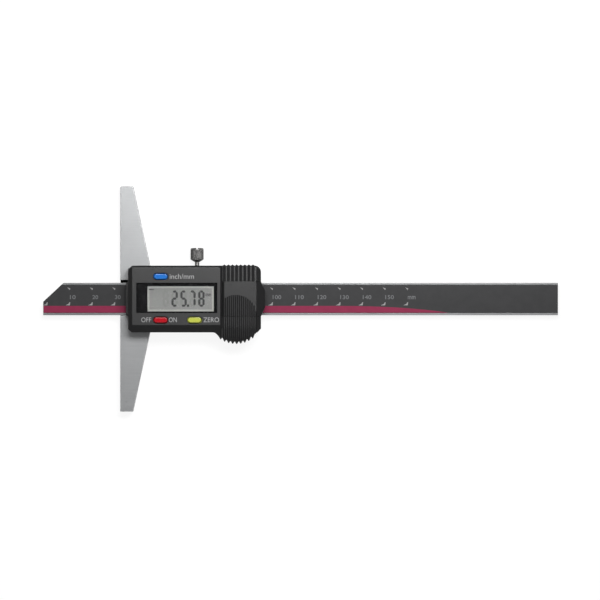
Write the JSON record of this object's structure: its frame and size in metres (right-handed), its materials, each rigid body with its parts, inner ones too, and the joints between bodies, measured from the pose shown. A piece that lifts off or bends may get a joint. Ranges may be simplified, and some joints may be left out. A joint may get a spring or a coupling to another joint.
{
  "type": "digital depth gauge",
  "caption": "Digital depth gauge: a graduated beam slides through a flat-faced crossbar, under a head with a display, keys, a lock screw and a sliding battery cover.",
  "frame": {"origin": "in the crossbar's measuring face, on the beam's centre line, in the plane of the gauge's back", "axes": "+X along the beam, away from the surface being measured; +Y across the beam towards the lock screw; +Z from the back towards the display"},
  "size_m": [0.2285, 0.1, 0.0162],
  "materials": {
    "ground_steel": "satin, ground lengthwise",
    "beam_steel": "satin, ground lengthwise",
    "dark_steel": "turned",
    "screw_nickel": "nickel plated, straight knurl",
    "cell_steel": "nickel plated",
    "gib_brass": "milled",
    "housing_plastic": "fine moulded grain",
    "window_acrylic": "clear, black border printed behind",
    "lcd_glass": "grey reflective display",
    "reflector_film": "satin film",
    "holder_plastic": "moulded",
    "scale_print": "printed film with a crimson stripe, ticks and numerals",
    "board_laminate": "green solder mask",
    "chip_epoxy": "epoxy drop",
    "key_blue": "moulded, smooth",
    "key_red": "moulded, smooth",
    "key_yellow": "moulded, smooth",
    "key_rubber": "silicone"
  },
  "bodies": {
    "head": {"base_frame": "ground_steel", "gib_strip": "gib_brass", "gib_set_screw_left": "dark_steel", "gib_set_screw_right": "dark_steel", "housing_screw_1": "dark_steel", "housing_screw_2": "dark_steel", "housing_screw_3": "dark_steel", "housing_screw_4": "dark_steel", "main_board": "board_laminate", "controller_chip": "chip_epoxy", "lcd_holder": "holder_plastic", "elastomer_upper": "key_rubber", "elastomer_lower": "key_rubber", "lcd_reflector": "reflector_film", "lcd_panel": "lcd_glass", "display_window": "window_acrylic", "front_housing": "housing_plastic", "coin_cell": "cell_steel", "cell_contact_negative": "cell_steel", "cell_contact_positive": "cell_steel"},
    "beam": {"beam": "beam_steel", "scale_strip": "board_laminate", "scale_label": "scale_print", "beam_stop_screw_1": "dark_steel", "beam_stop_screw_2": "dark_steel"},
    "lock_screw": {"lock_screw": "screw_nickel"},
    "inch_mm_key": {"inch_mm_button": "key_blue", "inch_mm_plunger": "key_rubber"},
    "on_off_key": {"on_off_button": "key_red", "on_off_plunger": "key_rubber"},
    "zero_key": {"zero_button": "key_yellow", "zero_plunger": "key_rubber"},
    "battery_cover": {"battery_cover": "housing_plastic"}
  },
  "joints": [
    {"name": "beam_slide", "type": "slide", "parent": "head", "child": "beam", "axis": [-1, 0, 0], "range_m": [-0.0342, 0.1158]},
    {"name": "lock_screw_turn", "type": "hinge", "parent": "head", "child": "lock_screw", "pos_m": [0.03408, 0.0185, 0.004], "axis": [0, 1, 0], "range_deg": [0, 180]},
    {"name": "inch_mm_press", "type": "slide", "parent": "head", "child": "inch_mm_key", "axis": [0, 0, -1], "range_m": [0, 0.0005], "stiffness_N_per_m": 1500},
    {"name": "on_off_press", "type": "slide", "parent": "head", "child": "on_off_key", "axis": [0, 0, -1], "range_m": [0, 0.0005], "stiffness_N_per_m": 1500},
    {"name": "zero_press", "type": "slide", "parent": "head", "child": "zero_key", "axis": [0, 0, -1], "range_m": [0, 0.0005], "stiffness_N_per_m": 1500},
    {"name": "battery_cover_slide", "type": "slide", "parent": "head", "child": "battery_cover", "axis": [1, 0, 0], "range_m": [0, 0.018]}
  ]
}
